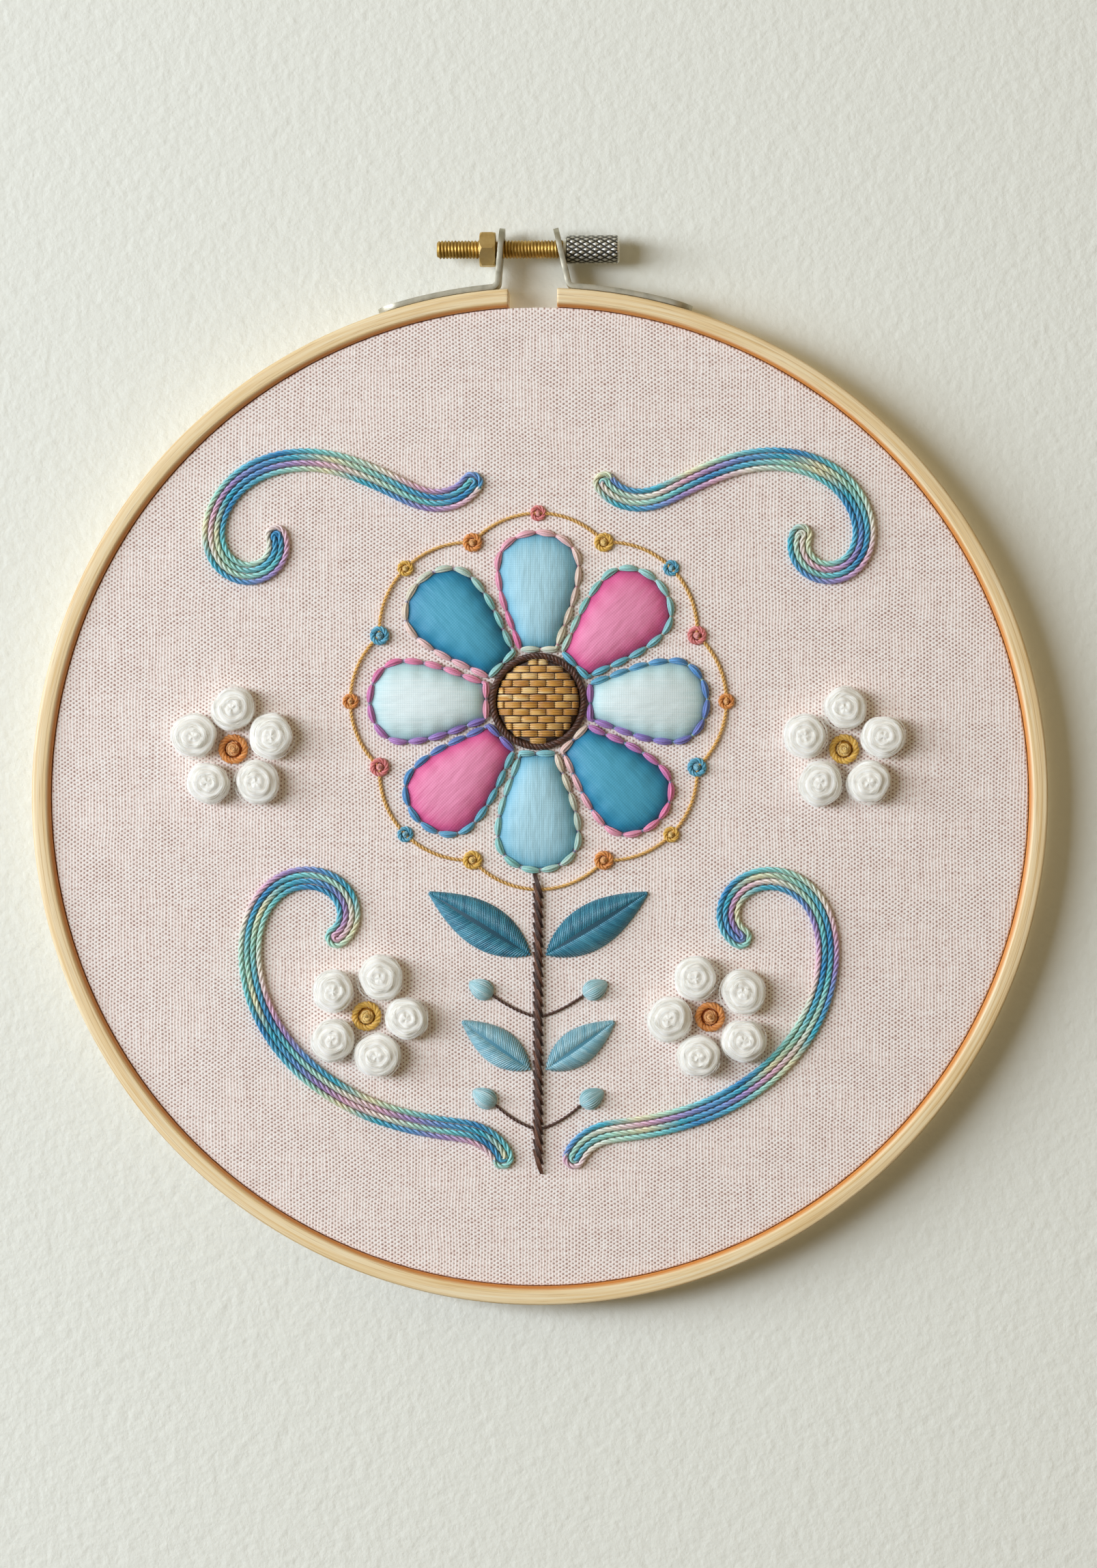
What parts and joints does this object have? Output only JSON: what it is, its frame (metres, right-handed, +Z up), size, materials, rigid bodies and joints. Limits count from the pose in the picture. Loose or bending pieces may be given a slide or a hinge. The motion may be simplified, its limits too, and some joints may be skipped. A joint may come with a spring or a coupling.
{
  "type": "embroidery art in its wooden hoop",
  "caption": "Round wooden screw hoop with stretched blush cloth and a raised embroidered flower, scrolls, leaves and wool blossoms; hangs on a wall.",
  "frame": {"origin": "the hoop's centre, on the plane of the wall that it hangs against", "axes": "+Z up to the screw, -Y out of the wall towards the viewer, +X to the viewer's right"},
  "size_m": [0.213, 0.0133, 0.2258],
  "materials": {
    "outer_bamboo": "planed pale bamboo, lightly sealed",
    "inner_bamboo": "planed pale bamboo, bare",
    "blush_cotton": "plain even weave, pale blush",
    "bracket_steel": "bent and rolled strip",
    "screw_brass": "cut thread, bright",
    "nut_brass": "turned, slightly dull",
    "head_steel": "diamond knurled",
    "light_blue_satin": "padded satin",
    "pink_satin": "padded satin",
    "pale_aqua_satin": "padded satin",
    "teal_satin": "padded satin",
    "golden_brown_thread": "basket-weave stitch",
    "dark_brown_thread": "stem stitch",
    "variegated_cord": "twisted cotton cord, laid and couched",
    "white_wool": "wound wool roving",
    "orange_thread": "coiled thread",
    "yellow_thread": "coiled thread",
    "coral_thread": "coiled thread",
    "sky_thread": "coiled thread"
  },
  "bodies": {
    "hoop": {"outer_ring": "outer_bamboo", "inner_ring": "inner_bamboo", "ground_cloth": "blush_cotton", "bracket_left": "bracket_steel", "bracket_right": "bracket_steel", "hex_nut": "nut_brass", "petal_1": "light_blue_satin", "petal_2": "pink_satin", "petal_3": "pale_aqua_satin", "petal_4": "teal_satin", "petal_5": "light_blue_satin", "petal_6": "pink_satin", "petal_7": "pale_aqua_satin", "petal_8": "teal_satin", "flower_centre": "golden_brown_thread", "centre_cord": "dark_brown_thread", "rosette_1": "yellow_thread", "rosette_2": "coral_thread", "rosette_3": "sky_thread", "rosette_4": "orange_thread", "rosette_5": "yellow_thread", "rosette_6": "coral_thread", "rosette_7": "sky_thread", "rosette_8": "orange_thread", "wool_round_1_1": "white_wool", "wool_round_1_2": "white_wool", "wool_round_1_3": "white_wool", "wool_round_1_4": "white_wool", "wool_round_1_5": "white_wool", "wool_round_2_1": "white_wool", "wool_round_2_2": "white_wool", "wool_round_2_3": "white_wool", "wool_round_2_4": "white_wool", "wool_round_2_5": "white_wool", "wool_round_3_1": "white_wool", "wool_round_3_2": "white_wool", "wool_round_3_3": "white_wool", "wool_round_3_4": "white_wool", "wool_round_3_5": "white_wool", "wool_round_4_1": "white_wool", "wool_round_4_2": "white_wool", "wool_round_4_3": "white_wool", "wool_round_4_4": "white_wool", "wool_round_4_5": "white_wool", "blossom_centre_1": "orange_thread", "blossom_centre_2": "yellow_thread", "blossom_centre_3": "yellow_thread", "blossom_centre_4": "orange_thread", "upper_scroll_left": "variegated_cord", "upper_scroll_right": "variegated_cord", "lower_scroll_left": "variegated_cord", "lower_scroll_right": "variegated_cord", "stem": "dark_brown_thread", "upper_leaf_left": "teal_satin", "upper_leaf_right": "teal_satin", "lower_leaf_left": "light_blue_satin", "lower_leaf_right": "light_blue_satin"},
    "screw": {"screw_bolt": "screw_brass", "thumb_head": "head_steel"}
  },
  "joints": [
    {"name": "screw_turn", "type": "hinge", "parent": "hoop", "child": "screw", "pos_m": [0, -0.005, 0.1149], "axis": [1, 0, 0], "continuous": true}
  ]
}
